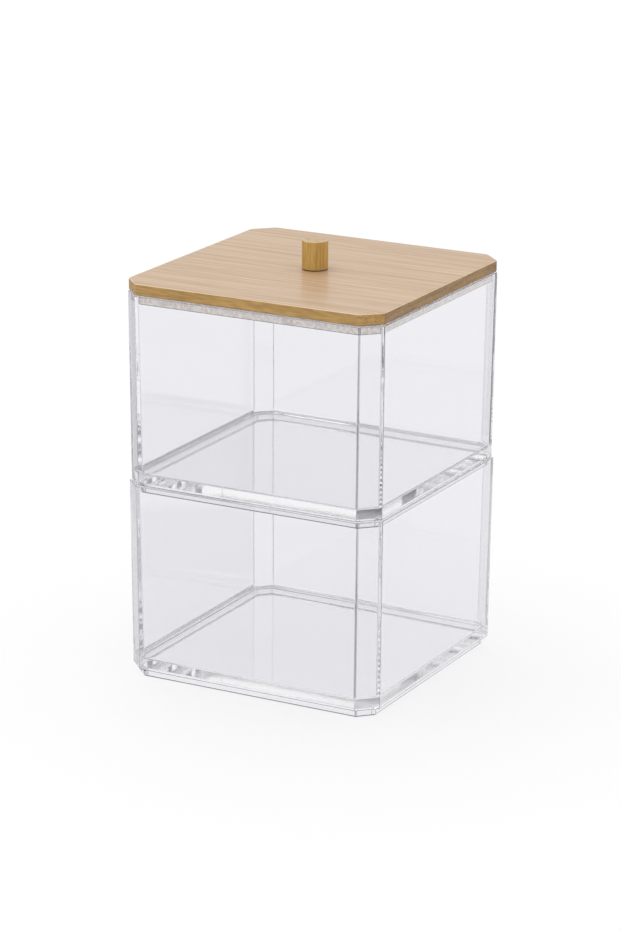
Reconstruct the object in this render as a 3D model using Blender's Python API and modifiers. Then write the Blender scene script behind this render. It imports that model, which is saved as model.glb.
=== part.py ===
"""Two-tier cotton holder jar: two clear stacking boxes under a bamboo lid with a turned knob.

Each box is one moulding: drafted walls on an octagonal plan, a flat floor and a low locating
foot that drops inside the rim of whatever box is below it. The lid is a bamboo board with a
clear locating plate under it, which drops inside the rim in the same way, and a knob held
from below by one countersunk screw.

Units are metres, +Z is up. The origin is the centre of the lower box's foot, on the surface
that the jar stands on. The front is -Y.
"""
import math

import bmesh
import bpy
from mathutils import Matrix

COLLECTION_NAME = "cotton_holder_jar"

# Box moulding: outline of the rim, draft, walls and floor
RIM_WIDTH = 0.0920
WALL_HEIGHT = 0.0626
WALL_DRAFT = 0.0005
RIM_WALL = 0.0017
BASE_WALL = 0.0020
FLOOR_THICKNESS = 0.0031
FLOOR_FILLET = 0.0012
CORNER_CUT = 0.0059
BOX_CORNER_RADIUS = 0.0006
CAVITY_CORNER_RADIUS = 0.0014
BOX_EDGE_RADIUS = 0.00025

# Locating foot under each box
FOOT_HEIGHT = 0.0027
FOOT_RIB = 0.0020
FOOT_TAPER = 0.0003
FOOT_CLEARANCE = 0.0003

# Lid board, which is flush with the rim, and its locating plate
LID_THICKNESS = 0.0038
LID_EXTRA_CUT = 0.0003
LID_CORNER_RADIUS = 0.0020
LID_EDGE_RADIUS = 0.0004
PLATE_THICKNESS = 0.0029
PLATE_CLEARANCE = 0.0004
PLATE_EDGE_RADIUS = 0.0003

# Knob and the screw that holds it
KNOB_DIAMETER = 0.0085
KNOB_HEIGHT = 0.0095
KNOB_EDGE_RADIUS = 0.0005
SCREW_SHANK_DIAMETER = 0.0024
SCREW_HEAD_DIAMETER = 0.0052
SCREW_HEAD_HEIGHT = 0.0015
SCREW_HEAD_RIM = 0.0003
SCREW_BITE = 0.0052
SCREW_POINT = 0.0018

# Gaps: between parts that rest on or pass through each other, and past the face of a cut
SEAT_GAP = 0.0003
CUT_OVERRUN = 0.0010

# Smoothness of the round forms
CORNER_SEGMENTS = 4
FILLET_SEGMENTS = 4
EDGE_SEGMENTS = 2
TURN_STEPS = 48
HOLE_SEGMENTS = 32
MERGE_DISTANCE = 0.00001
SHARP_ANGLE = math.radians(35)
BEVEL_ANGLE = math.radians(60)

# How an octagon's corner cut and a fillet at its 135 degree corners follow an offset
CUT_PER_INSET = 2 - math.sqrt(2)
CORNER_SETBACK = math.tan(math.radians(22.5))

# Widths and heights that follow from the sizes above
BASE_WIDTH = RIM_WIDTH - 2 * WALL_DRAFT
RIM_BORE_WIDTH = RIM_WIDTH - 2 * RIM_WALL
RIM_Z = FOOT_HEIGHT + WALL_HEIGHT
FLOOR_TOP_Z = FOOT_HEIGHT + FLOOR_THICKNESS
UPPER_BOX_Z = WALL_HEIGHT + SEAT_GAP
LID_Z = UPPER_BOX_Z + RIM_Z + SEAT_GAP


def clear_scene():
    """Remove every object of the open file."""
    for old in list(bpy.data.objects):
        bpy.data.objects.remove(old, do_unlink=True)


def make_collection(name):
    """Return a new collection linked to the scene."""
    collection = bpy.data.collections.new(name)
    bpy.context.scene.collection.children.link(collection)
    return collection


def make_material(name, color, roughness, metallic=0.0, transmission=0.0, ior=1.5):
    """Return a Principled BSDF material."""
    material = bpy.data.materials.new(name)
    material.use_nodes = True
    shader = material.node_tree.nodes["Principled BSDF"]
    shader.inputs["Base Color"].default_value = (*color, 1)
    shader.inputs["Roughness"].default_value = roughness
    shader.inputs["Metallic"].default_value = metallic
    shader.inputs["Transmission Weight"].default_value = transmission
    shader.inputs["IOR"].default_value = ior
    material.diffuse_color = (*color, 1)
    return material


def add_object(name, bm, collection):
    """Turn a bmesh into a mesh object with its normals outward and its round faces smooth."""
    bmesh.ops.recalc_face_normals(bm, faces=bm.faces[:])
    mesh = bpy.data.meshes.new(name)
    bm.to_mesh(mesh)
    bm.free()
    mesh.shade_smooth()
    mesh.set_sharp_from_angle(angle=SHARP_ANGLE)
    made = bpy.data.objects.new(name, mesh)
    collection.objects.link(made)
    return made


def as_cutter(cutter):
    """Mark an object as a tool for cutting or joining, which is no part of the jar."""
    cutter.display_type = "WIRE"
    cutter.hide_render = True
    return cutter


def width_on_draft(z, low_z, low_width, high_z, high_width):
    """Return the width that a drafted face pair has at height z."""
    return low_width + (high_width - low_width) * (z - low_z) / (high_z - low_z)


def steep_edges(bm):
    """Return the edges that run up the sides, not those around the top or the bottom."""
    ends = [(edge, edge.verts[0].co.z - edge.verts[1].co.z) for edge in bm.edges]
    reach = max(abs(rise) for _, rise in ends)
    return [edge for edge, rise in ends if abs(rise) > reach / 2]


def cap_edges(bm, z):
    """Return the edges that lie around the cap at height z."""
    half = MERGE_DISTANCE / 2
    return [edge for edge in bm.edges if all(abs(vert.co.z - z) < half for vert in edge.verts)]


def octagon_block(low_z, low_width, high_z, high_width, corner_cut, corner_radius,
                  low_fillet=0.0):
    """Return a bmesh of a drafted block with cut and rounded corners.

    A square frustum gets its four standing edges cut at 45 degrees, and the eight edges that
    this leaves are rounded. A low_fillet rounds the edge around its bottom.
    """
    bm = bmesh.new()
    place = Matrix.Translation((0, 0, (low_z + high_z) / 2)) @ Matrix.Rotation(math.radians(45), 4, "Z")
    bmesh.ops.create_cone(bm, cap_ends=True, cap_tris=False, segments=4, radius1=low_width / math.sqrt(2),
                          radius2=high_width / math.sqrt(2), depth=high_z - low_z, matrix=place)
    bmesh.ops.bevel(bm, geom=steep_edges(bm), offset=corner_cut, offset_type="OFFSET", segments=1,
                    profile=0.5, affect="EDGES", clamp_overlap=False)
    bmesh.ops.bevel(bm, geom=steep_edges(bm), offset=corner_radius * CORNER_SETBACK, offset_type="OFFSET",
                    segments=CORNER_SEGMENTS, profile=0.5, affect="EDGES", clamp_overlap=False)
    if low_fillet:
        bmesh.ops.bevel(bm, geom=cap_edges(bm, low_z), offset=low_fillet, offset_type="OFFSET",
                        segments=FILLET_SEGMENTS, profile=0.5, affect="EDGES", clamp_overlap=False)
    return bm


def add_boolean(target, cutter, operation):
    """Join or cut the target with another object."""
    boolean = target.modifiers.new(operation.title() + " " + cutter.name, "BOOLEAN")
    boolean.operation = operation
    boolean.object = cutter
    boolean.solver = "EXACT"


def add_edge_rounding(target, radius):
    """Round every sharp edge of the target."""
    bevel = target.modifiers.new("Edge rounding", "BEVEL")
    bevel.width = radius
    bevel.segments = EDGE_SEGMENTS
    bevel.limit_method = "ANGLE"
    bevel.angle_limit = BEVEL_ANGLE


def add_turned(name, profile, collection):
    """Turn a profile of (radius, height) points, listed from top to bottom, about Z."""
    bm = bmesh.new()
    verts = [bm.verts.new((radius, 0, height)) for radius, height in profile]
    for upper, lower in zip(verts, verts[1:]):
        bm.edges.new((upper, lower))
    mesh = bpy.data.meshes.new(name)
    bm.to_mesh(mesh)
    bm.free()
    turned = bpy.data.objects.new(name, mesh)
    collection.objects.link(turned)
    screw = turned.modifiers.new("Turn", "SCREW")
    screw.axis = "Z"
    screw.angle = math.tau
    screw.steps = TURN_STEPS
    screw.render_steps = TURN_STEPS
    screw.use_merge_vertices = True
    screw.merge_threshold = MERGE_DISTANCE
    screw.use_smooth_shade = True
    return turned


def rounded_edge(radius, top_z, edge_radius):
    """Return the profile points of a quarter round at the top edge of a turned piece."""
    points = []
    for step in range(FILLET_SEGMENTS + 1):
        angle = math.pi / 2 * (1 - step / FILLET_SEGMENTS)
        points.append((radius - edge_radius + edge_radius * math.cos(angle),
                       top_z - edge_radius + edge_radius * math.sin(angle)))
    return points


def add_box(name, base_z, material, collection, cutters):
    """Add one box, with the bottom of its foot at base_z and its origin at the foot's centre."""
    wall = add_object(name, octagon_block(FOOT_HEIGHT, BASE_WIDTH, RIM_Z, RIM_WIDTH, CORNER_CUT,
                                          BOX_CORNER_RADIUS), collection)

    # Foot: a low block joined under the floor, narrow enough to drop inside a rim
    foot_top = RIM_BORE_WIDTH - 2 * FOOT_CLEARANCE
    foot_low = foot_top - 2 * FOOT_TAPER
    foot_inset = (RIM_WIDTH - foot_top) / 2
    foot_cut = CORNER_CUT - CUT_PER_INSET * foot_inset
    foot_join_z = FOOT_HEIGHT + FLOOR_THICKNESS / 2
    foot = add_object(name + "_foot_block",
                      octagon_block(0, foot_low, foot_join_z, foot_top, foot_cut, BOX_CORNER_RADIUS), cutters)

    # Recess inside the foot, which leaves a rib around its edge
    recess_width = foot_low - 2 * FOOT_RIB
    recess_cut = foot_cut - CUT_PER_INSET * FOOT_RIB
    recess = add_object(name + "_foot_recess",
                        octagon_block(-CUT_OVERRUN, recess_width, FOOT_HEIGHT, recess_width, recess_cut,
                                      BOX_CORNER_RADIUS), cutters)

    # Cavity: its walls keep the draft past the rim, so the cut leaves no step there
    floor_width = width_on_draft(FLOOR_TOP_Z, FOOT_HEIGHT, BASE_WIDTH - 2 * BASE_WALL, RIM_Z, RIM_BORE_WIDTH)
    past_rim_z = RIM_Z + CUT_OVERRUN
    past_rim_width = width_on_draft(past_rim_z, FOOT_HEIGHT, BASE_WIDTH - 2 * BASE_WALL, RIM_Z,
                                    RIM_BORE_WIDTH)
    cavity_cut = CORNER_CUT - CUT_PER_INSET * RIM_WALL
    cavity = add_object(name + "_cavity",
                        octagon_block(FLOOR_TOP_Z, floor_width, past_rim_z, past_rim_width, cavity_cut,
                                      CAVITY_CORNER_RADIUS, low_fillet=FLOOR_FILLET), cutters)

    add_boolean(wall, foot, "UNION")
    add_boolean(wall, recess, "DIFFERENCE")
    add_boolean(wall, cavity, "DIFFERENCE")
    add_edge_rounding(wall, BOX_EDGE_RADIUS)
    wall.data.materials.append(material)
    wall.location = (0, 0, base_z)
    for cutter in (foot, recess, cavity):
        as_cutter(cutter)
        cutter.parent = wall
    return wall


def add_bored_cutter(name, low_z, low_diameter, high_z, high_diameter, cutters):
    """Add a round or conical cutter about Z."""
    bm = bmesh.new()
    place = Matrix.Translation((0, 0, (low_z + high_z) / 2))
    bmesh.ops.create_cone(bm, cap_ends=True, cap_tris=False, segments=HOLE_SEGMENTS, radius1=low_diameter / 2,
                          radius2=high_diameter / 2, depth=high_z - low_z, matrix=place)
    return as_cutter(add_object(name, bm, cutters))


def add_lid_panel(holder, material, collection, cutters):
    """Add the bamboo board, its underside at the holder's height, bored for the screw."""
    panel = add_object("lid_panel", octagon_block(0, RIM_WIDTH, LID_THICKNESS, RIM_WIDTH,
                                                  CORNER_CUT + LID_EXTRA_CUT, LID_CORNER_RADIUS), collection)
    bore_diameter = SCREW_SHANK_DIAMETER + 2 * SEAT_GAP
    bore = add_bored_cutter("lid_panel_bore", -CUT_OVERRUN, bore_diameter, LID_THICKNESS + CUT_OVERRUN,
                            bore_diameter, cutters)
    add_edge_rounding(panel, LID_EDGE_RADIUS)
    add_boolean(panel, bore, "DIFFERENCE")
    panel.data.materials.append(material)
    panel.parent = holder
    bore.parent = holder
    return panel


def add_locating_plate(holder, material, collection, cutters):
    """Add the clear plate under the board, sized to drop inside the rim, and countersink it."""
    width = RIM_BORE_WIDTH - 2 * PLATE_CLEARANCE
    corner_cut = CORNER_CUT - CUT_PER_INSET * (RIM_WALL + PLATE_CLEARANCE)
    top_z = -SEAT_GAP
    low_z = top_z - PLATE_THICKNESS
    plate = add_object("lid_locating_plate", octagon_block(low_z, width, top_z, width, corner_cut,
                                                           BOX_CORNER_RADIUS), collection)
    bore_diameter = SCREW_SHANK_DIAMETER + 2 * SEAT_GAP
    bore = add_bored_cutter("lid_plate_bore", low_z - CUT_OVERRUN, bore_diameter, top_z + CUT_OVERRUN,
                            bore_diameter, cutters)
    sink_slope = (SCREW_HEAD_DIAMETER - SCREW_SHANK_DIAMETER) / (SCREW_HEAD_HEIGHT - SCREW_HEAD_RIM)
    sink_low_z = low_z - CUT_OVERRUN
    sink_high_z = low_z + SCREW_HEAD_HEIGHT
    sink_low_diameter = bore_diameter + sink_slope * (sink_high_z - sink_low_z)
    sink = add_bored_cutter("lid_plate_sink", sink_low_z, sink_low_diameter, sink_high_z, bore_diameter, cutters)
    add_edge_rounding(plate, PLATE_EDGE_RADIUS)
    add_boolean(plate, bore, "DIFFERENCE")
    add_boolean(plate, sink, "DIFFERENCE")
    plate.data.materials.append(material)
    for piece in (plate, bore, sink):
        piece.parent = holder
    return plate


def add_knob(holder, material, collection):
    """Add the turned knob on the board, with the blind bore that the screw bites into."""
    low_z = LID_THICKNESS + SEAT_GAP
    top_z = low_z + KNOB_HEIGHT
    radius = KNOB_DIAMETER / 2
    bore_radius = SCREW_SHANK_DIAMETER / 2 + SEAT_GAP
    bore_top_z = low_z + SCREW_BITE + SEAT_GAP
    profile = [(0, top_z)] + rounded_edge(radius, top_z, KNOB_EDGE_RADIUS)
    profile += [(radius, low_z), (bore_radius, low_z), (bore_radius, bore_top_z), (0, bore_top_z)]
    knob = add_turned("knob", profile, collection)
    knob.data.materials.append(material)
    knob.parent = holder
    return knob


def add_knob_screw(holder, material, collection):
    """Add the countersunk screw that passes the plate and the board into the knob."""
    head_low_z = -SEAT_GAP - PLATE_THICKNESS
    head_top_z = head_low_z + SCREW_HEAD_HEIGHT
    tip_z = LID_THICKNESS + SEAT_GAP + SCREW_BITE
    shank_radius = SCREW_SHANK_DIAMETER / 2
    head_radius = SCREW_HEAD_DIAMETER / 2
    profile = [(0, tip_z), (shank_radius, tip_z - SCREW_POINT), (shank_radius, head_top_z),
               (head_radius, head_low_z + SCREW_HEAD_RIM), (head_radius, head_low_z), (0, head_low_z)]
    screw = add_turned("knob_screw", profile, collection)
    screw.data.materials.append(material)
    screw.parent = holder
    return screw


def main():
    """Build the jar: lower box, upper box and the lid with its plate, knob and screw."""
    clear_scene()
    jar = make_collection(COLLECTION_NAME)
    cutters = make_collection("cutters")

    clear = make_material("clear_acrylic", (0.93, 0.94, 0.97), 0.03, transmission=1.0, ior=1.49)
    plate_clear = make_material("clear_plate", (0.94, 0.95, 0.96), 0.05, transmission=1.0, ior=1.49)
    board = make_material("bamboo_board", (0.66, 0.51, 0.35), 0.45)
    turned = make_material("bamboo_knob", (0.62, 0.44, 0.27), 0.45)
    steel = make_material("screw_steel", (0.62, 0.61, 0.58), 0.35, metallic=1.0)

    add_box("lower_box", 0, clear, jar, cutters)
    add_box("upper_box", UPPER_BOX_Z, clear, jar, cutters)

    lid = bpy.data.objects.new("lid_lift_axis", None)
    lid.location = (0, 0, LID_Z)
    jar.objects.link(lid)
    add_lid_panel(lid, board, jar, cutters)
    add_locating_plate(lid, plate_clear, jar, cutters)
    add_knob(lid, turned, jar)
    add_knob_screw(lid, steel, jar)
    bpy.context.view_layer.update()


main()
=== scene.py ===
"""Dresses the two-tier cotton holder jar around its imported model.

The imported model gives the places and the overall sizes. Each sub-assembly is a class: StackingBox for the
two clear mouldings, BambooLid for the board with its plate, knob and screw, and Studio for the floor, the
light and the camera. Each finish is a class of its own. Every new surface is a grid of points that numpy
works out from a formula. Lengths are metres and +Z is up; the front is -Y.
"""
import logging
import math
from dataclasses import dataclass
from enum import Enum

import bpy
import numpy as np
from mathutils import Matrix, Vector


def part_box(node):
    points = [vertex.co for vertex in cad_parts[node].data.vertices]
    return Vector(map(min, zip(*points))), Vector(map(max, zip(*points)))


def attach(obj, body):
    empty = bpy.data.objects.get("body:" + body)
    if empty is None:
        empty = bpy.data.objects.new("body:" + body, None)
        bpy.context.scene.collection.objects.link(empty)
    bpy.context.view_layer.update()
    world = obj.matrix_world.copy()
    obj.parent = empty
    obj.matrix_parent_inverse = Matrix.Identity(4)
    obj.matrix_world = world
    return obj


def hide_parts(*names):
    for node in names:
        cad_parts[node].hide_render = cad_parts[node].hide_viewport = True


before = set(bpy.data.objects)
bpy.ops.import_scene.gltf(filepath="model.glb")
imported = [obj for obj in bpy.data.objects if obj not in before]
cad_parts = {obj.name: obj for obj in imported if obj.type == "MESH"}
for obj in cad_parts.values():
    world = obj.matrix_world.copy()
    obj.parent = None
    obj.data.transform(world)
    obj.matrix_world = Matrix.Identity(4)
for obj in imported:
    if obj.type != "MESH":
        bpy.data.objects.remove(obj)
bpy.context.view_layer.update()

MM = 0.001
TURN = 2 * math.pi
CUT_PER_INSET = 2 - math.sqrt(2)
SHARP_ANGLE = math.radians(35)
BOUNCES = 64
CLEAR_BOUNCES = 24

Color = tuple[float, float, float, float]
Axis = tuple[float, float, float]
Socket = bpy.types.NodeSocket

log = logging.getLogger("jar")


def srgb(red: float, green: float, blue: float) -> Color:
    """Return the linear colour of a display colour.

    Args:
        red, green, blue: The display colour, from 0 to 255.

    Returns:
        Red, green, blue and alpha from 0 to 1, as a shader socket takes them.
    """
    shown = np.array([red, green, blue]) / 255
    linear = np.where(shown <= 0.04045, shown / 12.92, ((shown + 0.055) / 1.055) ** 2.4)
    return (*linear.tolist(), 1.0)


WHITE = srgb(255, 255, 255)


def smooth_step(value: np.ndarray, low: float, high: float) -> np.ndarray:
    """Return 0 below low and 1 above high, with 3t^2 - 2t^3 between them."""
    share = np.clip((value - low) / (high - low), 0, 1)
    return share * share * (3 - 2 * share)


def grid_object(name: str, rings: np.ndarray, start_pole: np.ndarray | None = None,
                end_pole: np.ndarray | None = None, looped: bool = False) -> bpy.types.Object:
    """Make a mesh object from closed rings of points.

    Point j of ring i is joined to point j + 1 of its ring and to point j of ring i + 1. Seen from +Z, rings
    run anticlockwise. They go out under the piece, up its sides and in over it, so faces point outwards.

    Args:
        name: The object's name.
        rings: Points as (ring, point on the ring, xyz).
        start_pole, end_pole: Points that close the first ring and the last, or None.
        looped: True if the last ring is joined to the first.

    Returns:
        The object, with its origin at the row's origin.
    """
    count, around = rings.shape[:2]
    points = rings.reshape(-1, 3)
    index = np.arange(count * around).reshape(count, around)
    rows = np.vstack([index, index[:1]]) if looped else index
    low, high = rows[:-1], rows[1:]
    faces = np.stack([low, np.roll(low, -1, 1), np.roll(high, -1, 1), high], -1).reshape(-1, 4).tolist()
    if start_pole is not None:
        pole = np.full(around, len(points))
        faces += np.stack([pole, np.roll(index[0], -1), index[0]], -1).tolist()
        points = np.vstack([points, start_pole])
    if end_pole is not None:
        pole = np.full(around, len(points))
        faces += np.stack([index[-1], np.roll(index[-1], -1), pole], -1).tolist()
        points = np.vstack([points, end_pole])
    return mesh_object(name, points, faces)


def mesh_object(name: str, points: np.ndarray, faces: list[list[int]]) -> bpy.types.Object:
    """Make a smooth-shaded mesh object, with sharp edges where its faces turn by more than SHARP_ANGLE.

    Args:
        name: The object's name.
        points: Points as (point, xyz).
        faces: The corner numbers of each face.

    Returns:
        The object, linked to the scene.
    """
    mesh = bpy.data.meshes.new(name)
    mesh.from_pydata(points.tolist(), [], faces)
    mesh.shade_smooth()
    mesh.set_sharp_from_angle(angle=SHARP_ANGLE)
    made = bpy.data.objects.new(name, mesh)
    bpy.context.scene.collection.objects.link(made)
    return made


@dataclass(frozen=True)
class Corner:
    """One corner of a section that is carried round a plan.

    Attributes:
        reach: Half width of the plan there, or its radius where it is round.
        cut: How far the plan's corners are cut there.
        height: Height of the corner.
        rounding: Radius of the section's own rounding at this corner, or 0 for a sharp one.
        roundness: 0 where the plan is the cut square, 1 where it is a circle.
    """

    reach: float
    cut: float
    height: float
    rounding: float = 0.0
    roundness: float = 0.0


@dataclass(frozen=True)
class Section:
    """A section's corners, which become stations with round arcs at the rounded corners.

    Attributes:
        corners: The corners in order.
        arc_steps: Steps of each arc.
        margin: Distance from each end of an arc to one more station, which keeps the faces beside it flat.
    """

    corners: tuple[Corner, ...]
    arc_steps: int = 4
    margin: float = 0.15 * MM

    def stations(self) -> np.ndarray:
        """Return the stations as (station, (reach, height, cut, roundness))."""
        values = np.array([(each.reach, each.height, each.cut, each.roundness) for each in self.corners])
        return np.concatenate([self._block(values, number) for number in range(len(values))])

    def _block(self, values: np.ndarray, number: int) -> np.ndarray:
        """Return the stations of one corner.

        The arc touches the two sides of the corner at radius / tan(half the angle between them). Each of its
        points is a mix of the two sides' directions, so cut and roundness follow it along the same sides.

        Args:
            values: All the corners as (corner, (reach, height, cut, roundness)).
            number: Which corner.

        Returns:
            One station for a sharp corner or an end, and the arc with its two margins for a rounded one.
        """
        here, rounding = values[number], self.corners[number].rounding
        if rounding == 0:
            return here[None]
        back = values[number - 1] - here
        ahead = values[(number + 1) % len(values)] - here
        back = back / np.linalg.norm(back[:2])
        ahead = ahead / np.linalg.norm(ahead[:2])
        angle = math.acos(float(np.clip(back[:2] @ ahead[:2], -1, 1)))
        sweep = math.pi - angle
        touch = rounding / math.tan(angle / 2)
        centre = rounding / math.sin(angle)
        share = np.linspace(0, 1, self.arc_steps + 1)
        first = np.sin((1 - share) * sweep) / math.sin(sweep)
        second = np.sin(share * sweep) / math.sin(sweep)
        along_back = centre * (1 - first - second) + first * touch
        along_ahead = centre * (1 - first - second) + second * touch
        along_back = np.concatenate([[touch + self.margin], along_back, [0]])
        along_ahead = np.concatenate([[0], along_ahead, [touch + self.margin]])
        return here + along_back[:, None] * back + along_ahead[:, None] * ahead


@dataclass(frozen=True)
class OctagonPlan:
    """A square whose corners are cut at 45 degrees and rounded, as a path that a section is carried round.

    Attributes:
        corner_radius: Radius of the arcs between the eight faces.
        arc_steps: Steps of each arc.
        margin: Distance of one more point on each side of an arc, which keeps the faces flat in shading.
    """

    corner_radius: float
    arc_steps: int = 5
    margin: float = 0.3 * MM

    def rings(self, stations: np.ndarray) -> np.ndarray:
        """Carry stations round the plan.

        Face k stands square to the direction k * 45 degrees, at the reach for a main face and at
        (2 * reach - cut) / sqrt(2) for a corner face. Moved inwards by the corner radius, faces k and k + 1
        meet at the centre of their arc: normal_k * d_k + tangent_k * (d_k+1 - d_k * cos 45) / sin 45. Where
        the roundness isn't 0, the point moves towards the circle of the same reach.

        Args:
            stations: Stations as (station, (reach, height, cut, roundness)).

        Returns:
            Points as (station, point on the path, xyz), anticlockwise seen from +Z.
        """
        reach, height, cut, roundness = stations.T
        step = TURN / 8
        theta = np.arange(8) * step
        normal = np.stack([np.cos(theta), np.sin(theta)], -1)
        tangent = np.stack([-np.sin(theta), np.cos(theta)], -1)
        is_main = np.arange(8) % 2 == 0
        at_corner = (2 * reach - cut)[:, None] / math.sqrt(2)
        distance = np.where(is_main, reach[:, None], at_corner) - self.corner_radius
        along = (np.roll(distance, -1, 1) - distance * math.cos(step)) / math.sin(step)
        centre = distance[..., None] * normal + along[..., None] * tangent
        sweep = theta[:, None] + np.linspace(0, step, self.arc_steps + 1)
        spoke = np.stack([np.cos(sweep), np.sin(sweep)], -1)
        arcs = centre[:, :, None] + self.corner_radius * spoke
        before = arcs[:, :, :1] - self.margin * tangent[:, None]
        after = arcs[:, :, -1:] + self.margin * np.roll(tangent, -1, 0)[:, None]
        flat = np.concatenate([before, arcs, after], 2).reshape(len(reach), -1, 2)
        widest = flat[np.argmax(reach)]
        compass = np.arctan2(widest[:, 1], widest[:, 0])
        circle = reach[:, None, None] * np.stack([np.cos(compass), np.sin(compass)], -1)
        plan = flat + roundness[:, None, None] * (circle - flat)
        level = np.broadcast_to(height[:, None, None], (*plan.shape[:2], 1))
        return np.concatenate([plan, level], -1)


def turned_rings(reach: np.ndarray, height: np.ndarray, around: int) -> np.ndarray:
    """Turn a line about Z: each row of reach and height becomes a ring of points of that reach and height."""
    compass = np.arange(around) * TURN / around
    return np.stack([reach * np.cos(compass), reach * np.sin(compass), height + 0 * compass], -1)


class NodeSheet:
    """A tree of shader nodes, with one short method for each kind that the scene uses."""

    def __init__(self, tree: bpy.types.NodeTree) -> None:
        """Take over the tree that new nodes go into."""
        self.tree = tree

    def node(self, kind: str, **settings: object) -> bpy.types.Node:
        """Add a node and set it up.

        Args:
            kind: Blender's name for the node.
            settings: The node's own settings.

        Returns:
            The node.
        """
        made = self.tree.nodes.new(kind)
        for key, value in settings.items():
            setattr(made, key, value)
        return made

    def feed(self, socket: Socket, value: object) -> None:
        """Link a socket to another, or set it to a plain value.

        Args:
            socket: The input.
            value: An output socket, a number or a colour.
        """
        if isinstance(value, Socket):
            self.tree.links.new(value, socket)
        else:
            socket.default_value = value

    def object_place(self, stretch: Axis = (1, 1, 1)) -> Socket:
        """Return the place on the piece.

        Args:
            stretch: Its factor along each axis.

        Returns:
            The place, times the factors.
        """
        place = self.node("ShaderNodeTexCoord").outputs["Object"]
        mapping = self.node("ShaderNodeMapping")
        self.feed(mapping.inputs["Vector"], place)
        mapping.inputs["Scale"].default_value = stretch
        return mapping.outputs["Vector"]

    def noise(self, place: Socket, scale: float = 1.0, detail: float = 3.0, roughness: float = 0.5) -> Socket:
        """Return a noise from 0 to 1.

        Args:
            place: Where on the piece.
            scale: Repeats for each unit of place.
            detail, roughness: Octaves, and how strong the finer ones are.

        Returns:
            The noise's value.
        """
        made = self.node("ShaderNodeTexNoise")
        self.feed(made.inputs["Vector"], place)
        made.inputs["Scale"].default_value = scale
        made.inputs["Detail"].default_value = detail
        made.inputs["Roughness"].default_value = roughness
        return made.outputs["Fac"]

    def axes(self, place: Socket) -> bpy.types.NodeOutputs:
        """Split a place.

        Args:
            place: The place.

        Returns:
            Its X, Y and Z outputs.
        """
        made = self.node("ShaderNodeSeparateXYZ")
        self.feed(made.inputs[0], place)
        return made.outputs

    def along(self, place: Socket, axis: Axis) -> Socket:
        """Measure a place along an axis.

        Args:
            place: The place, or a direction.
            axis: The axis, of length 1.

        Returns:
            How far it lies along the axis.
        """
        made = self.node("ShaderNodeVectorMath", operation="DOT_PRODUCT")
        self.feed(made.inputs[0], place)
        made.inputs[1].default_value = axis
        return made.outputs["Value"]

    def math(self, operation: str, *values: object) -> Socket:
        """Return the result of a Math node.

        Args:
            operation: Blender's name for it.
            values: Its numbers or sockets.

        Returns:
            The result.
        """
        made = self.node("ShaderNodeMath", operation=operation)
        for socket, value in zip(made.inputs, values):
            self.feed(socket, value)
        return made.outputs[0]

    def times(self, first: object, *others: object) -> Socket:
        """Multiply numbers or sockets.

        Args:
            first, others: What is multiplied.

        Returns:
            The product.
        """
        for other in others:
            first = self.math("MULTIPLY", first, other)
        return first

    def spread(self, value: Socket, low: float, high: float, to_low: object = 0.0,
               to_high: object = 1.0) -> Socket:
        """Map low..high to to_low..to_high smoothly, and hold the ends.

        Args:
            value: The number to map.
            low, high: Where the change starts and ends.
            to_low, to_high: The results at these, as numbers or sockets.

        Returns:
            The mapped number.
        """
        made = self.node("ShaderNodeMapRange", interpolation_type="SMOOTHSTEP")
        for socket, item in zip(made.inputs, (value, low, high, to_low, to_high)):
            self.feed(socket, item)
        return made.outputs[0]

    def mix(self, factor: object, first: object, second: object, blend: str = "MIX") -> Socket:
        """Mix two colours.

        Args:
            factor: Share of the second colour.
            first, second: The colours.
            blend: Blender's name for the way of mixing.

        Returns:
            The mixed colour.
        """
        made = self.node("ShaderNodeMix", data_type="RGBA", blend_type=blend)
        self.feed(made.inputs[0], factor)
        self.feed(made.inputs[6], first)
        self.feed(made.inputs[7], second)
        return made.outputs[2]

    def join(self, factor: object, first: Socket, second: Socket) -> Socket:
        """Mix two shaders.

        Args:
            factor: Share of the second shader.
            first, second: The shaders.

        Returns:
            The mixed shader.
        """
        made = self.node("ShaderNodeMixShader")
        for socket, value in zip(made.inputs, (factor, first, second)):
            self.feed(socket, value)
        return made.outputs[0]

    def ray_is(self, *kinds: str) -> Socket:
        """Pick rays by their kind.

        Args:
            kinds: Blender's names for the kinds.

        Returns:
            1 for rays of any of them, and 0 for the others.
        """
        path = self.node("ShaderNodeLightPath")
        answer = path.outputs[f"Is {kinds[0]} Ray"]
        for kind in kinds[1:]:
            answer = self.math("MAXIMUM", answer, path.outputs[f"Is {kind} Ray"])
        return answer

    def mirrored(self) -> Socket:
        """Return 1 for rays that a surface has thrown back at least once, and 0 for the others."""
        depth = self.node("ShaderNodeLightPath").outputs["Glossy Depth"]
        return self.math("MINIMUM", depth, 1.0)


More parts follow.
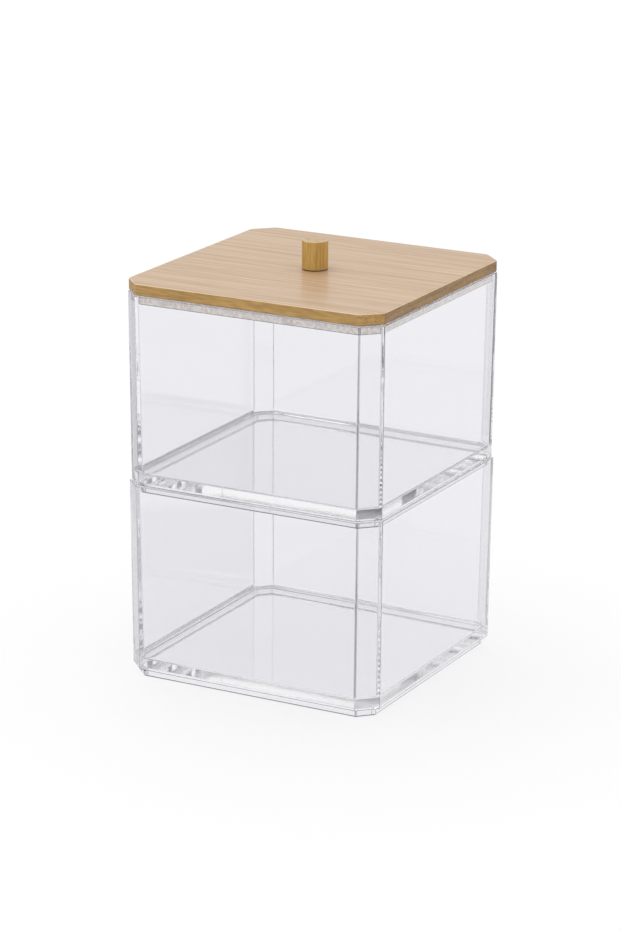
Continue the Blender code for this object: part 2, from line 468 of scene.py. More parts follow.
class MaterialSheet(NodeSheet):
    """The nodes of a material with a Principled shader."""

    def __init__(self, name: str) -> None:
        """Start the material.

        Args:
            name: The material's name.
        """
        self.material = bpy.data.materials.new(name)
        self.material.use_nodes = True
        super().__init__(self.material.node_tree)
        self.shader = self.tree.nodes["Principled BSDF"]
        self.output = self.tree.nodes["Material Output"]

    def set_shader(self, **values: object) -> None:
        """Set or link inputs of the Principled shader, with their names' spaces written as underscores."""
        for key, value in values.items():
            self.feed(self.shader.inputs[key.replace("_", " ").title().replace("Ior", "IOR")], value)

    def bump(self, height: Socket, depth: float) -> None:
        """Press a height pattern into the shader's normal.

        Args:
            height: The pattern.
            depth: How deep it is from its 0 to its 1.
        """
        made = self.node("ShaderNodeBump")
        made.inputs["Strength"].default_value = 1.0
        made.inputs["Distance"].default_value = depth
        self.feed(made.inputs["Height"], height)
        self.feed(self.shader.inputs["Normal"], made.outputs["Normal"])

    def let_light_through(self, tint: Color) -> None:
        """Let shadow and diffuse rays pass straight through, as through a thin clear wall.

        Args:
            tint: Colour of the light that passes.
        """
        clear = self.node("ShaderNodeBsdfTransparent")
        clear.inputs["Color"].default_value = tint
        mixed = self.join(self.ray_is("Shadow", "Diffuse"), self.shader.outputs[0], clear.outputs[0])
        self.feed(self.output.inputs["Surface"], mixed)


@dataclass(frozen=True)
class ClearPlastic:
    """Clear plastic that bends light, with a faint flow in its faces and a few dull spots.

    Here and in the other finishes, a noise lies mostly between 0.3 and 0.7, and the two numbers after it in a
    spread() pick its weakest and its strongest parts.

    Attributes:
        name: The material's name.
        tint: Colour that white light takes on through two faces.
        edge_line_shade, contact_shade: Painted shade: the same on the narrow rounds between the flat faces,
            greyer to draw the dark lines that real rounds show, and darker still on those that face down, as
            a painted contact shadow.
        soft_round, inner_round: Strength of that painted shade on rounds that stand upright or face up, and
            on rounds that face the jar's middle.
        shadow_tint: Colour that light takes on through one face on its way to what lies behind.
        frost, least_frost: Share of white scatter on sawn upright faces, and the least part of it.
        polished, dullest, edge: Roughness at best, at worst and on the upright faces.
        saw_marks, dull_spots: Repeats per metre of the saw's marks and of the dull spots.
        index: Index of refraction.
        flow_depth, flow_pitch: Depth and length of the slight waves that the moulding leaves.
        ripple_depth, ripple_pitch: The same of the finer ripple on the level faces.
    """

    name: str
    tint: Color = srgb(245, 245, 247)
    edge_line_shade: Color = srgb(120, 120, 132)
    contact_shade: Color = srgb(24, 24, 30)
    soft_round: float = 0.55
    inner_round: float = 0.25
    shadow_tint: Color = (0.95, 0.95, 0.96, 1.0)
    frost: float = 0.0
    least_frost: float = 0.65
    saw_marks: float = 900
    polished: float = 0.01
    dullest: float = 0.05
    dull_spots: float = 45
    edge: float = 0.01
    index: float = 1.49
    flow_depth: float = 0.01 * MM
    flow_pitch: float = 14 * MM
    ripple_depth: float = 0.006 * MM
    ripple_pitch: float = 0.9 * MM

    def material(self) -> bpy.types.Material:
        """Build the material.

        Returns:
            The material.
        """
        sheet = MaterialSheet(self.name)
        place = sheet.object_place()
        facing = sheet.axes(sheet.node("ShaderNodeNewGeometry").outputs["True Normal"])["Z"]
        flatness = sheet.math("ABSOLUTE", facing)
        upright = sheet.spread(flatness, 0.4, 0.6, self.edge, 0.0)
        dull = sheet.noise(place, scale=self.dull_spots, detail=4)
        polish = sheet.spread(dull, 0.5, 0.75, self.polished, self.dullest)
        marks = sheet.spread(sheet.noise(place, scale=self.saw_marks), 0.35, 0.65, self.least_frost, 1.0)
        frosted = sheet.times(sheet.spread(upright, 0.0, self.edge), marks, self.frost)
        clear = sheet.math("SUBTRACT", 1.0, frosted)
        sheet.set_shader(base_color=self._tint(sheet), transmission_weight=clear, ior=self.index,
                         roughness=sheet.math("MAXIMUM", polish, upright))

        flow = sheet.noise(place, scale=1 / self.flow_pitch, detail=4, roughness=0.55)
        ripple = sheet.noise(place, scale=1 / self.ripple_pitch, detail=2)
        level = sheet.spread(flatness, 0.6, 0.9, 0.0, self.ripple_depth / self.flow_depth)
        sheet.bump(sheet.math("ADD", flow, sheet.times(ripple, level)), self.flow_depth)
        sheet.let_light_through(self.shadow_tint)
        return sheet.material

    def _tint(self, sheet: MaterialSheet) -> Socket:
        """Return the tint, which is greyer in the middle of a round than on the flat faces.

        An outward normal (x, y, z) that points t round the plan and leans by a gives 4xy(x^2 - y^2), which
        is sin 4t cos^4 a, and 2z * sqrt(1 - z^2), which is sin 2a. Both are 0 on every face of the cut-corner
        plan. The first is made weaker, and so is the second where the normal points up or towards the jar's
        middle. The larger of the two picks how much painted shade greys the tint: none of it up to 0.1, and
        all of it from 0.7.

        Args:
            sheet: The material's nodes.

        Returns:
            The tint.
        """
        geometry = sheet.node("ShaderNodeNewGeometry")
        outward = sheet.node("ShaderNodeVectorMath", operation="SCALE")
        sheet.feed(outward.inputs[0], geometry.outputs["Normal"])
        sheet.feed(outward.inputs["Scale"], sheet.spread(geometry.outputs["Backfacing"], 0.0, 1.0, 1.0, -1.0))
        normal, place = sheet.axes(outward.outputs[0]), sheet.axes(sheet.object_place())
        x, y, z = normal["X"], normal["Y"], normal["Z"]
        squares = sheet.math("SUBTRACT", sheet.times(x, x), sheet.times(y, y))
        standing = sheet.times(x, y, squares, 4 * self.soft_round)
        leaning = sheet.times(z, sheet.math("SQRT", sheet.math("SUBTRACT", 1.0, sheet.times(z, z))), 2.0)
        from_middle = sheet.math("ADD", sheet.times(x, place["X"]), sheet.times(y, place["Y"]))
        leaning = sheet.times(leaning, sheet.spread(from_middle, -2 * MM, 2 * MM, self.inner_round, 1.0))
        leaning = sheet.times(leaning, sheet.spread(z, -0.1, 0.3, 1.0, self.soft_round))
        larger = sheet.math("MAXIMUM", sheet.math("ABSOLUTE", standing), sheet.math("ABSOLUTE", leaning))
        # Painted shade on the rounds: grey lines, and darkest on those that face down, as a painted contact
        # shadow
        edge_line_shade = sheet.mix(sheet.spread(z, -0.35, -0.1, 1.0, 0.0), self.edge_line_shade, self.contact_shade)
        return sheet.mix(sheet.spread(larger, 0.1, 0.7), self.tint, edge_line_shade)


class Grain(Enum):
    """The axis that a bamboo piece's fibres run along."""

    ACROSS = (1, 0, 0)
    UPRIGHT = (0, 0, 1)


@dataclass(frozen=True)
class Bamboo:
    """Sanded and oiled bamboo: glued strips, fine fibres and small dark vessels along the grain.

    Attributes:
        name: The material's name.
        grain: The axis that the fibres run along.
        light, deep, vessel: Colours of the palest fibres, the deeper ones and the vessels on the upper face.
        side_light_tint: Factors that tint the sides as painted light and shade.
        oil, oil_roughness: Share of the oil's sheen, and its roughness.
        pore_share, vessel_share, patch_share, tone_share, seam_share, edge_light_and_shade: How strongly the
        pores, the vessels, the large patches, the strips' own tones, their joints and the painted highlight
        and shade on the edges show, from 0 to 1.
        ends: Factors that darken the sawn ends, at their palest blotches and their darkest: partly the end
        grain's own tone and partly painted shade.
        edge: Colour of the painted highlight along the upper edges, which also stands for their sanded
            paleness.
        strip, seam, strip_start: Width of a glued strip and of a joint, and where the first starts in strips.
        fibres, vessels, pores, patches: Width of each pattern, and its length along the grain.
        blotches: Height and length of the blotches in the sawn ends.
        fibre_depth, vessel_depth: Depth of the fibres and of the vessels.
        roughness: Roughness of the palest fibres and of the deepest.
    """

    name: str
    grain: Grain
    light: Color
    deep: Color
    vessel: Color
    side_light_tint: Color
    oil: float = 0.0
    oil_roughness: float = 0.2
    pore_share: float = 0.4
    vessel_share: float = 0.5
    patch_share: float = 0.12
    tone_share: float = 0.1
    seam_share: float = 0.35
    ends: tuple[Color, Color] = (srgb(232, 225, 216), srgb(192, 183, 172))
    edge: Color = srgb(238, 212, 174)
    edge_light_and_shade: float = 0.7
    strip: float = 23 * MM
    seam: float = 0.25 * MM
    strip_start: float = 0.37
    fibres: tuple[float, float] = (1.1 * MM, 60 * MM)
    vessels: tuple[float, float] = (0.55 * MM, 18 * MM)
    pores: tuple[float, float] = (0.45 * MM, 5 * MM)
    patches: tuple[float, float] = (14 * MM, 70 * MM)
    blotches: tuple[float, float] = (0.9 * MM, 16 * MM)
    fibre_depth: float = 0.03 * MM
    vessel_depth: float = 0.018 * MM
    roughness: tuple[float, float] = (0.42, 0.62)

    def _pattern(self, sheet: MaterialSheet, size: tuple[float, float], **settings: float) -> Socket:
        """Return a noise of a width and a length along the grain, with further settings of noise()."""
        stretch = tuple(1 / size[1] if along else 1 / size[0] for along in self.grain.value)
        return sheet.noise(sheet.object_place(stretch), **settings)

    def material(self) -> bpy.types.Material:
        """Build the material.

        Returns:
            The material.
        """
        sheet = MaterialSheet(self.name)
        fibres = self._pattern(sheet, self.fibres, detail=5, roughness=0.6)
        vessels = self._pattern(sheet, self.vessels, detail=2)
        patches = self._pattern(sheet, self.patches, detail=2)

        # Glued strips: each has its own tone, and a thin dark line shows where two meet
        across = sheet.axes(sheet.object_place((1 / self.strip,) * 3))["Y"]
        shifted = sheet.math("ADD", across, self.strip_start)
        tone = sheet.node("ShaderNodeTexWhiteNoise", noise_dimensions="1D")
        sheet.feed(tone.inputs["W"], sheet.math("FLOOR", shifted))
        from_middle = sheet.math("ABSOLUTE", sheet.math("SUBTRACT", sheet.math("FRACT", shifted), 0.5))
        line = sheet.spread(from_middle, 0.5 - self.seam / self.strip, 0.5, 0.0, self.seam_share)

        color = sheet.mix(sheet.spread(fibres, 0.3, 0.72), self.light, self.deep)
        color = sheet.mix(sheet.spread(vessels, 0.6, 0.74, 0.0, self.vessel_share), color, self.vessel)
        color = sheet.mix(sheet.spread(patches, 0.35, 0.7, 0.0, self.patch_share), color, self.vessel)
        own_tone = sheet.spread(tone.outputs["Value"], 0, 1, 0, self.tone_share)
        color = sheet.mix(own_tone, color, self.deep, "MULTIPLY")
        color = sheet.mix(line, color, self.vessel)

        # Painted light and shade on the sides: they are tinted as upright faces look lit, deeper on the board
        # and brighter on the knob
        normal = sheet.node("ShaderNodeNewGeometry").outputs["Normal"]
        facing = sheet.axes(normal)["Z"]
        side = sheet.spread(sheet.math("ABSOLUTE", facing), 0.25, 0.85, 1.0, 0.0)
        color = sheet.mix(side, color, sheet.mix(1.0, color, self.side_light_tint, "MULTIPLY"))

        # The sawn ends are darker, in blotches that lie level: partly the end grain's own tone and partly
        # painted shade for the end faces that get less light
        end = sheet.spread(sheet.math("ABSOLUTE", sheet.along(normal, self.grain.value)), 0.75, 0.95)
        blotches = sheet.noise(sheet.object_place((0, 1 / self.blotches[1], 1 / self.blotches[0])))
        end_darkening = sheet.mix(sheet.spread(blotches, 0.35, 0.65), *self.ends)
        color = sheet.mix(sheet.times(side, end), color, end_darkening, "MULTIPLY")

        pores = sheet.spread(self._pattern(sheet, self.pores), 0.35, 0.7, 0.0, self.pore_share)
        color = sheet.mix(sheet.times(side, pores), color, self.vessel, "MULTIPLY")

        # Painted highlight on the upper edges, partly their sanded paleness, and painted shade along the
        # lower ones, as a painted contact shadow
        below_top = sheet.spread(facing, 0.85, 0.98, self.edge_light_and_shade, 0.0)
        upper = sheet.times(sheet.spread(facing, 0.3, 0.55), below_top)
        color = sheet.mix(upper, color, self.edge)
        lower = sheet.spread(facing, -0.55, -0.2, self.edge_light_and_shade, 0.0)
        color = sheet.mix(lower, color, self.vessel, "MULTIPLY")

        sheet.set_shader(base_color=color, roughness=sheet.spread(fibres, 0.2, 0.8, *self.roughness),
                         coat_weight=self.oil, coat_roughness=self.oil_roughness)
        pressed = sheet.times(vessels, self.vessel_depth / self.fibre_depth)
        sheet.bump(sheet.math("SUBTRACT", fibres, pressed), self.fibre_depth)
        return sheet.material


@dataclass(frozen=True)
class ZincSteel:
    """Zinc-plated steel with a fine uneven sheen.

    Attributes:
        name: The material's name.
        dark, light: Its colours.
        clouds, cloud_depth: Repeats of the sheen's clouds per metre, and their depth.
    """

    name: str = "zinc_plated_steel"
    dark: Color = srgb(196, 195, 190)
    light: Color = srgb(222, 220, 214)
    clouds: float = 900
    cloud_depth: float = 0.01 * MM

    def material(self) -> bpy.types.Material:
        """Build the material.

        Returns:
            The material.
        """
        sheet = MaterialSheet(self.name)
        cloud = sheet.noise(sheet.object_place(), scale=self.clouds, detail=4)
        sheet.set_shader(base_color=sheet.mix(cloud, self.dark, self.light), metallic=1.0,
                         roughness=sheet.spread(cloud, 0.3, 0.7, 0.22, 0.42))
        sheet.bump(cloud, self.cloud_depth)
        return sheet.material


@dataclass(frozen=True)
class StudioWhite:
    """The studio's pale floor, lifted towards white where it is seen, with the jar's shadow kept.

    Behind the jar lie two strips of dark card, which only mirrored rays show: they draw the upright edges of
    the clear plastic. A cut corner turns a level view (x, y) into (-y, -x) and a side wall turns it into
    (-x, y), so one strip runs back to the left and the other back to the right.

    Attributes:
        ahead: The direction that the camera looks in, seen from above.
        name: The material's name.
        color, cloud, cloud_share: Colours of the floor itself, and the largest share of the second.
        lift, clear_lift: Share of plain white where it is seen directly, and where gloss or plastic shows it.
        card: Colour of the card.
        left_start, right_start: How far beside the jar's middle the strips start. The left one is paler up to
            the middle.
        strip_end, fade: How far beside it they end, and width of their soft edges.
        pale_end: How dark the paler end of each strip is, from 0 to 1.
        right_near, behind_near: How dark the right strip is near the jar, and the left one behind it.
        behind: How far beside the middle that last stretch starts to end, and where it ends.
        change: How far from the jar the strips start to change in darkness, and where that ends.
    """

    ahead: Axis
    name: str = "studio_floor"
    color: Color = srgb(254, 254, 255)
    cloud: Color = srgb(240, 240, 246)
    cloud_share: float = 0.02
    lift: float = 0.64
    clear_lift: float = 0.75
    card: Color = srgb(110, 110, 117)
    left_start: float = -75 * MM
    right_start: float = 44 * MM
    strip_end: float = 120 * MM
    fade: float = 10 * MM
    pale_end: float = 0.7
    right_near: float = 0.5
    behind_near: float = 0.25
    behind: tuple[float, float] = (35 * MM, 50 * MM)
    change: tuple[float, float] = (130 * MM, 220 * MM)

    def material(self) -> bpy.types.Material:
        """Build the material.

        Returns:
            The material.
        """
        sheet = MaterialSheet(self.name)
        place = sheet.object_place()
        clouds = sheet.spread(sheet.noise(place, scale=8), 0.3, 0.7, 0.0, self.cloud_share)
        sheet.set_shader(base_color=sheet.mix(clouds, self.color, self.cloud), roughness=0.7)

        x, y, _ = self.ahead
        back_left = sheet.along(place, (-y, -x, 0.0))
        back_right = sheet.along(place, (-x, y, 0.0))
        aside = sheet.math("ABSOLUTE", back_right)
        behind = sheet.spread(aside, *self.behind, self.behind_near, self.pale_end)
        left = sheet.times(self._strip(sheet, back_left, back_right, self.left_start),
                           sheet.spread(back_left, *self.change, behind, 1.0),
                           sheet.spread(back_right, self.left_start, 0.0, self.pale_end, 1.0))
        right = sheet.times(self._strip(sheet, back_right, back_left, self.right_start),
                            sheet.spread(back_right, *self.change, self.right_near, self.pale_end))
        card = sheet.times(sheet.math("MAXIMUM", left, right), sheet.mirrored())

        shown = sheet.node("ShaderNodeEmission")
        sheet.feed(shown.inputs["Color"], sheet.mix(card, WHITE, self.card))
        direct = sheet.times(sheet.ray_is("Camera"), self.lift)
        lifted = sheet.math("MAXIMUM", card, self.clear_lift)
        through = sheet.times(sheet.ray_is("Glossy", "Transmission"), lifted)
        seen = sheet.math("MAXIMUM", direct, through)
        surface = sheet.join(seen, sheet.shader.outputs[0], shown.outputs[0])
        sheet.feed(sheet.output.inputs["Surface"], surface)
        return sheet.material

    def _strip(self, sheet: MaterialSheet, away: Socket, beside: Socket, start: float) -> Socket:
        """Return 1 on a strip of card and 0 beside it.

        Args:
            sheet: The material's nodes.
            away: How far a place on the floor is from the jar's middle along the strip.
            beside: How far it is beside that line.
            start: Where the strip starts beside it.

        Returns:
            The share.
        """
        return sheet.times(sheet.spread(beside, start, start + self.fade),
                           sheet.spread(beside, self.strip_end, self.strip_end + self.fade, 1.0, 0.0),
                           sheet.spread(away, 0.0, self.fade))


@dataclass(frozen=True)
class DarkSides:
    """Where the studio is dark round the jar, in degrees from the direction that the camera looks in.

    Attributes:
        ahead: That direction, seen from above.
        left, right, back: Where the dark starts on the left and on the right, and where it ends on both.
        fade: How wide each of its edges is.
        top: Where it starts to fade above and where it ends, as the Z of a direction.
    """

    ahead: Axis
    left: float = 20.0
    right: float = 35.0
    back: float = 140.0
    fade: float = 12.0
    top: tuple[float, float] = (0.3, 0.6)

    def share(self, sheet: NodeSheet, direction: Socket) -> Socket:
        """Return 1 in the dark and 0 outside it.

        Args:
            sheet: The sheet that gets the nodes.
            direction: The direction.

        Returns:
            The share.
        """
        forward = sheet.along(direction, self.ahead)
        leftward = sheet.along(direction, (-self.ahead[1], self.ahead[0], 0.0))
        turn = sheet.math("DEGREES", sheet.math("ARCTAN2", leftward, forward))
        on_left = sheet.spread(turn, self.left, self.left + self.fade)
        on_right = sheet.spread(turn, -self.right - self.fade, -self.right, 1.0, 0.0)
        before_back = sheet.spread(sheet.math("ABSOLUTE", turn), self.back, self.back + self.fade, 1.0, 0.0)
        low = sheet.spread(sheet.axes(direction)["Z"], *self.top, 1.0, 0.0)
        return sheet.times(low, sheet.math("ADD", on_left, on_right), before_back)


def dress(piece: bpy.types.Object, material: bpy.types.Material, body: str, node: str) -> None:
    """Give a piece its material and body, and let it stand for its CAD node.

    Args:
        piece: The finished piece.
        material: Its material.
        body: The CAD body that it rides on.
        node: The CAD node that it replaces.
    """
    piece.data.materials.append(material)
    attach(piece, body)
    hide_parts(node)
    log.info("%s: %d faces, rides on %s, stands for %s", piece.name, len(piece.data.polygons), body, node)


@dataclass(frozen=True)
class StackingBox:
    """One clear moulding: drafted walls on a cut-corner plan, a filleted floor and a rib under it.

    Attributes:
        node: The CAD node that it stands for.
        body: The CAD body that it rides on.
        wall_draft: How far each wall leans inwards from the rim to its lower edge.
        rim_wall, base_wall: Thickness of the walls at the rim and at their lower edge.
        floor, floor_fillet: Thickness of the floor, and radius of the fillet round it.
        corner_cut, corner_radius: How far the plan's corners are cut, and radius of its upright rounds.
        edge: Radius of the small rounds.
        foot_height, foot_rib, foot_taper: Height, width and taper of the rib under the floor.
        foot_clearance: Room between the rib and the rim that it drops into.
        foot_edge: Radius of the rib's lower outer round.
    """

    node: str
    body: str
    wall_draft: float = 0.5 * MM
    rim_wall: float = 1.7 * MM
    base_wall: float = 2.0 * MM
    floor: float = 3.1 * MM
    floor_fillet: float = 1.2 * MM
    corner_cut: float = 5.9 * MM
    corner_radius: float = 0.6 * MM
    edge: float = 0.25 * MM
    foot_height: float = 2.7 * MM
    foot_rib: float = 2.0 * MM
    foot_taper: float = 0.3 * MM
    foot_clearance: float = 0.3 * MM
    foot_edge: float = 0.55 * MM

    def section(self) -> Section:
        """Work the section out from the CAD box and the fields.

        Returns:
            The section, from the middle of the underside round to the middle of the floor.
        """
        low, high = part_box(self.node)
        rim, wall_z = high.x, low.z + self.foot_height
        floor_z = wall_z + self.floor
        bore = rim - self.rim_wall
        inner_base = rim - self.wall_draft - self.base_wall
        floor_reach = inner_base + (floor_z - wall_z) / (high.z - wall_z) * (bore - inner_base)
        cavity_cut = self.corner_cut - CUT_PER_INSET * self.rim_wall

        foot_join = bore - self.foot_clearance
        foot_low = foot_join - self.foot_taper
        foot_top = foot_low + self.foot_taper * self.foot_height / (self.foot_height + self.floor / 2)
        foot_cut = self.corner_cut - CUT_PER_INSET * (rim - foot_join)
        recess = foot_low - self.foot_rib
        recess_cut = foot_cut - CUT_PER_INSET * self.foot_rib
        return Section((
            Corner(recess / 2, recess_cut / 2, wall_z),
            Corner(recess, recess_cut, wall_z, self.edge),
            Corner(recess, recess_cut, low.z, self.edge),
            Corner(foot_low, foot_cut, low.z, self.foot_edge),
            Corner(foot_top, foot_cut, wall_z, self.edge),
            Corner(rim - self.wall_draft, self.corner_cut, wall_z, self.edge),
            Corner(rim, self.corner_cut, high.z, self.edge),
            Corner(bore, cavity_cut, high.z, self.edge),
            Corner(floor_reach, cavity_cut, floor_z, self.floor_fillet),
            Corner(floor_reach / 2, cavity_cut / 2, floor_z),
        ))

    def build(self, material: bpy.types.Material) -> None:
        """Build the moulding and dress it.

        Args:
            material: The clear plastic.
        """
        stations = self.section().stations()
        under, over = np.array([0, 0, stations[0, 1]]), np.array([0, 0, stations[-1, 1]])
        rings = OctagonPlan(self.corner_radius).rings(stations)
        moulding = grid_object(self.node + "_moulding", rings, under, over)
        dress(moulding, material, self.body, self.node)


@dataclass(frozen=True)
class BambooLid:
    """The lid: a bamboo board with a clear locating plate under it and a knob that a screw holds.

    Attributes:
        body: The CAD body that the lid's pieces ride on.
        board_cut, board_radius, board_edge: The board's corner cuts, upright rounds and edge rounds.
        plate_cut, plate_radius, plate_edge: The same for the plate.
        bore, sink_height, sink_reach: Radius of the screw's holes, and height and radius of the countersink.
        knob_edge, knob_foot_edge, knob_bore_depth: The knob's upper and lower round, and its bore's depth.
        shank, thread_root, thread_pitch: The thread's outer and inner radius, and its pitch.
        thread_start, thread_full: How far above the head it starts, and where it has its full depth.
        neck, tip: Length of the plain neck over the head, and of the last cone.
        point, point_taper: Length of the point, and how much of its radius it loses.
        head, head_height, head_rim: The head's radius, its height and that of its upright rim.
        recess_depth, recess_reach, recess_slot: The cross recess's depth, radius and half slot width.
        recess_flank, slot_flank: Where its flanks start, as parts of the last two.
        around, face_rings, thread_rings: Points on a ring, and rings in the head's face and in the thread.
    """

    body: str = "lid"
    board_cut: float = 6.2 * MM
    board_radius: float = 2.0 * MM
    board_edge: float = 0.4 * MM
    plate_cut: float = 4.67 * MM
    plate_radius: float = 0.6 * MM
    plate_edge: float = 0.3 * MM
    bore: float = 1.5 * MM
    sink_height: float = 1.5 * MM
    sink_reach: float = 3.25 * MM
    knob_edge: float = 0.5 * MM
    knob_foot_edge: float = 0.12 * MM
    knob_bore_depth: float = 5.5 * MM
    shank: float = 1.2 * MM
    thread_root: float = 0.86 * MM
    thread_pitch: float = 0.9 * MM
    thread_start: float = 0.4 * MM
    thread_full: float = 1.6 * MM
    neck: float = 0.2 * MM
    tip: float = 0.1 * MM
    point: float = 1.8 * MM
    point_taper: float = 0.85
    head: float = 2.6 * MM
    head_height: float = 1.5 * MM
    head_rim: float = 0.3 * MM
    recess_depth: float = 0.9 * MM
    recess_reach: float = 1.45 * MM
    recess_slot: float = 0.36 * MM
    recess_flank: float = 0.85
    slot_flank: float = 0.6
    around: int = 64
    face_rings: int = 16
    thread_rings: int = 110

    def build_board(self, material: bpy.types.Material) -> None:
        """Build the board: one closed surface, out under it, up its edge, in over it and down the bore.

        Args:
            material: The bamboo.
        """
        low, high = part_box("lid_panel")
        section = Section((
            Corner(self.bore, 0, low.z, roundness=1),
            Corner(high.x, self.board_cut, low.z, self.board_edge),
            Corner(high.x, self.board_cut, high.z, self.board_edge),
            Corner(self.bore, 0, high.z, roundness=1),
        ))
        rings = OctagonPlan(self.board_radius).rings(section.stations())
        board = grid_object("lid_board", rings, looped=True)
        dress(board, material, self.body, "lid_panel")

    def build_plate(self, material: bpy.types.Material) -> None:
        """Build the locating plate in the same way, with the countersink under it.

        Args:
            material: The clear plastic.
        """
        low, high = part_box("lid_locating_plate")
        section = Section((
            Corner(self.sink_reach, 0, low.z, roundness=1),
            Corner(high.x, self.plate_cut, low.z, self.plate_edge),
            Corner(high.x, self.plate_cut, high.z, self.plate_edge),
            Corner(self.bore, 0, high.z, roundness=1),
            Corner(self.bore, 0, low.z + self.sink_height, roundness=1),
        ))
        rings = OctagonPlan(self.plate_radius).rings(section.stations())
        plate = grid_object("lid_plate", rings, looped=True)
        dress(plate, material, self.body, "lid_locating_plate")

    def build_knob(self, material: bpy.types.Material) -> None:
        """Build the turned knob: from the top of its blind bore down, out under it, up and over.

        Args:
            material: The bamboo.
        """
        low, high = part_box("knob")
        bore_top = low.z + self.knob_bore_depth
        stations = Section((
            Corner(self.bore, 0, bore_top),
            Corner(self.bore, 0, low.z),
            Corner(high.x, 0, low.z, self.knob_foot_edge),
            Corner(high.x, 0, high.z, self.knob_edge),
            Corner(high.x / 2, 0, high.z),
        )).stations()
        rings = turned_rings(stations[:, :1], stations[:, 1:2], self.around)
        knob = grid_object("knob_turning", rings, np.array([0, 0, bore_top]), np.array([0, 0, high.z]))
        dress(knob, material, self.body, "knob")

    def build_screw(self, material: bpy.types.Material) -> None:
        """Build the screw from its head's middle up to its point.

        The head is flat below, with a cross recess: its height is the recess depth where |x| or |y| is below
        half the slot, within the recess's reach, and 0 elsewhere, with smooth flanks. The thread's radius
        swings between root and crest as a triangle wave of height / pitch - compass / full turn.

        Args:
            material: The steel.
        """
        low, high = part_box("knob_screw")
        compass = np.arange(self.around) * TURN / self.around
        face_reach = np.linspace(0.08, 1, self.face_rings)[:, None] * (self.head - self.head_rim / 2)
        x, y = face_reach * np.cos(compass), face_reach * np.sin(compass)
        beyond = smooth_step(np.hypot(x, y), self.recess_reach * self.recess_flank, self.recess_reach)
        nearest = np.minimum(np.abs(x), np.abs(y))
        beside = smooth_step(nearest, self.recess_slot * self.slot_flank, self.recess_slot)
        face = np.stack([x, y, low.z + self.recess_depth * (1 - beyond) * (1 - beside)], -1)

        head_top = low.z + self.head_height
        rim_reach = np.array([self.head, self.head, self.shank])[:, None]
        rim_height = np.array([low.z + self.head_rim / 2, low.z + self.head_rim, head_top])[:, None]

        height = np.linspace(head_top + self.neck, high.z - self.tip, self.thread_rings)[:, None]
        turns = (height - head_top) / self.thread_pitch - compass / TURN
        wave = np.abs(2 * (turns - np.floor(turns)) - 1)
        cut = smooth_step(height, head_top + self.thread_start, head_top + self.thread_full)
        taper = 1 - self.point_taper * smooth_step(height, high.z - self.point, high.z)
        reach = (self.shank - (self.shank - self.thread_root) * cut * wave) * taper

        rings = np.concatenate([face, turned_rings(rim_reach, rim_height, self.around),
                                turned_rings(reach, height, self.around)])
        middle = np.array([0, 0, low.z + self.recess_depth])
        screw = grid_object("knob_screw_threaded", rings, middle, np.array([0, 0, high.z]))
        dress(screw, material, self.body, "knob_screw")


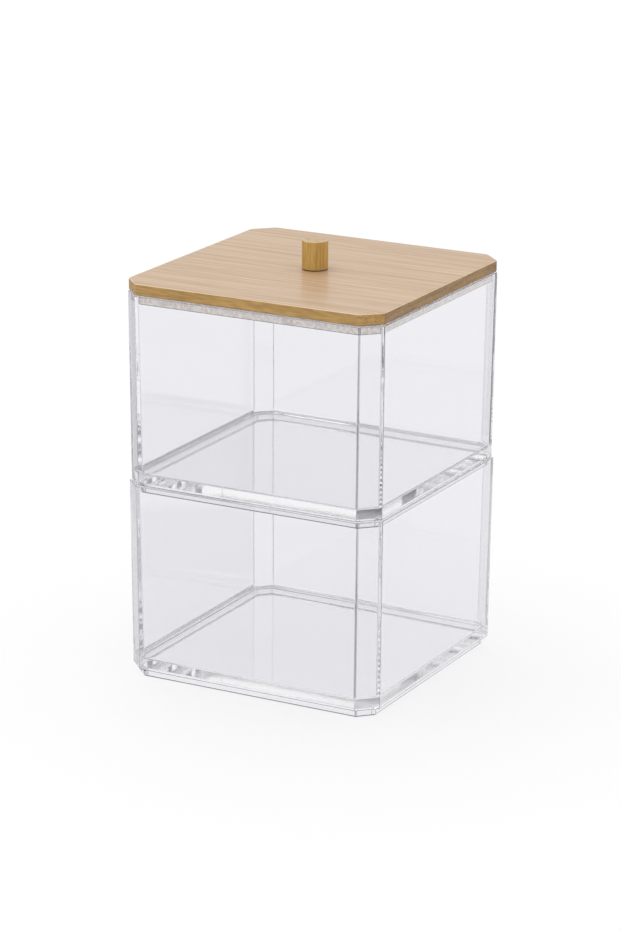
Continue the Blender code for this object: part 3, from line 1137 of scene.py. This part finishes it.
@dataclass(frozen=True)
class Studio:
    """A pale floor, a wide soft light from above, an even surround and the camera.

    Attributes:
        azimuth: The camera's compass angle in degrees: 0 looks along +Y, 90 along -X.
        elevation, roll: Its angle above the horizon and its anticlockwise turn, seen from behind, in degrees.
        distance, target: How far it is from the point that it looks at, and that point.
        focal_pixels, picture_height: Its focal length and the picture's height in pixels.
        sensor, clip: Size of its sensor in millimetres, and the nearest and farthest that it sees.
        floor_reach, floor_points: Half width of the floor, and points along each side.
        ambient, ambient_color: Level and colour of the even light.
        key_strength, key_color: The same for the light from above.
        key_spread, key_lean: Its width in degrees, and where it comes from, as a direction.
        side: Colour of the studio's sides in gloss and through clear plastic.
    """

    azimuth: float = 28.23
    elevation: float = 16.81
    roll: float = 0.35
    distance: float = 1141.0 * MM
    target: Axis = (2.16 * MM, -6.23 * MM, 68.12 * MM)
    focal_pixels: float = 3508.4
    picture_height: float = 931
    sensor: float = 36.0
    clip: tuple[float, float] = (0.05, 20)
    floor_reach: float = 4.0
    floor_points: int = 9
    ambient: float = 0.7
    ambient_color: Color = srgb(252, 252, 255)
    key_strength: float = 1.15
    key_color: Color = srgb(255, 253, 250)
    key_spread: float = 70.0
    key_lean: Axis = (-0.22, 0.05, 1.0)
    side: Color = srgb(156, 156, 163)

    @property
    def ahead(self) -> Axis:
        """The direction that the camera looks in, seen from above."""
        around = math.radians(self.azimuth)
        return -math.sin(around), math.cos(around), 0.0

    def build(self) -> None:
        """Build the whole studio."""
        self._floor()
        self._surround()
        self._key_lamp()
        self._camera()

    def _floor(self) -> None:
        """Lay the floor, as a grid of points z = 0."""
        span = np.linspace(-self.floor_reach, self.floor_reach, self.floor_points)
        x, y = np.meshgrid(span, span)
        points = np.stack([x, y, 0 * x], -1).reshape(-1, 3)
        index = np.arange(x.size).reshape(x.shape)
        faces = np.stack([index[:-1, :-1], index[:-1, 1:], index[1:, 1:], index[1:, :-1]], -1).reshape(-1, 4)
        floor = mesh_object("studio_floor", points, faces.tolist())
        floor.data.materials.append(StudioWhite(self.ahead).material())

    def _surround(self) -> None:
        """Set the world: an even light, and white with dark sides where gloss or plastic shows it."""
        world = bpy.data.worlds.new("studio_surround")
        world.use_nodes = True
        bpy.context.scene.world = world
        sheet = NodeSheet(world.node_tree)
        light = world.node_tree.nodes["Background"]
        light.inputs["Color"].default_value = self.ambient_color
        light.inputs["Strength"].default_value = self.ambient

        direction = sheet.node("ShaderNodeTexCoord").outputs["Generated"]
        dark = sheet.times(DarkSides(self.ahead).share(sheet, direction), sheet.mirrored())
        seen = sheet.node("ShaderNodeBackground")
        sheet.feed(seen.inputs["Color"], sheet.mix(dark, WHITE, self.side))
        shown = sheet.ray_is("Camera", "Glossy", "Transmission")
        mixed = sheet.join(shown, light.outputs[0], seen.outputs[0])
        sheet.feed(world.node_tree.nodes["World Output"].inputs["Surface"], mixed)

    def _key_lamp(self) -> None:
        """Hang the wide soft light."""
        data = bpy.data.lights.new("key_light", "SUN")
        data.angle = math.radians(self.key_spread)
        data.energy = self.key_strength
        data.color = self.key_color[:3]
        lamp = bpy.data.objects.new("key_light", data)
        lamp.rotation_euler = (-Vector(self.key_lean)).to_track_quat("-Z", "Y").to_euler()
        bpy.context.scene.collection.objects.link(lamp)

    def _camera(self) -> None:
        """Set up the camera at the measured angle."""
        data = bpy.data.cameras.new("camera")
        data.sensor_width = self.sensor
        data.lens = self.focal_pixels / self.picture_height * self.sensor
        data.clip_start, data.clip_end = self.clip
        x, y, _ = self.ahead
        above = math.radians(self.elevation)
        back = Vector((-x * math.cos(above), -y * math.cos(above), math.sin(above)))
        level = (-back).to_track_quat("-Z", "Y").to_matrix().to_4x4()
        rolled = level @ Matrix.Rotation(math.radians(self.roll), 4, "Z")
        camera = bpy.data.objects.new("camera", data)
        camera.matrix_world = Matrix.Translation(Vector(self.target) + self.distance * back) @ rolled
        bpy.context.scene.collection.objects.link(camera)
        bpy.context.scene.camera = camera


def set_view() -> None:
    """Show colours as they are, and give clear plastic enough bounces."""
    scene = bpy.context.scene
    scene.view_settings.view_transform = "Standard"
    scene.cycles.max_bounces = BOUNCES
    scene.cycles.glossy_bounces = BOUNCES
    scene.cycles.transmission_bounces = BOUNCES
    scene.cycles.transparent_max_bounces = CLEAR_BOUNCES


def main() -> None:
    """Build the jar's pieces and the studio, and report each piece."""
    logging.basicConfig(level=logging.INFO, format="%(message)s")
    clear = ClearPlastic("clear_acrylic").material()
    plate = ClearPlastic("clear_plate", tint=srgb(249, 242, 233), frost=0.95, edge=0.15, dullest=0.08,
                         flow_depth=0.05 * MM, flow_pitch=4 * MM).material()
    # The side tints below are painted light and shade: deeper on the board's sides, brighter on the knob's
    board = Bamboo("bamboo_board", Grain.ACROSS, light=srgb(207, 177, 142), deep=srgb(186, 152, 113),
                   vessel=srgb(144, 108, 74), side_light_tint=(0.91, 0.79, 0.33, 1.0), oil=0.35).material()
    turning = Bamboo("bamboo_knob", Grain.UPRIGHT, light=srgb(206, 182, 150), deep=srgb(186, 156, 118),
                     vessel=srgb(156, 122, 80), side_light_tint=(1.3, 1.16, 0.53, 1.0), pore_share=0.25).material()
    steel = ZincSteel().material()

    for node in ("lower_box", "upper_box"):
        StackingBox(node, body=node).build(clear)
    lid = BambooLid()
    lid.build_board(board)
    lid.build_plate(plate)
    lid.build_knob(turning)
    lid.build_screw(steel)
    Studio().build()
    set_view()


if __name__ == "__main__":
    main()
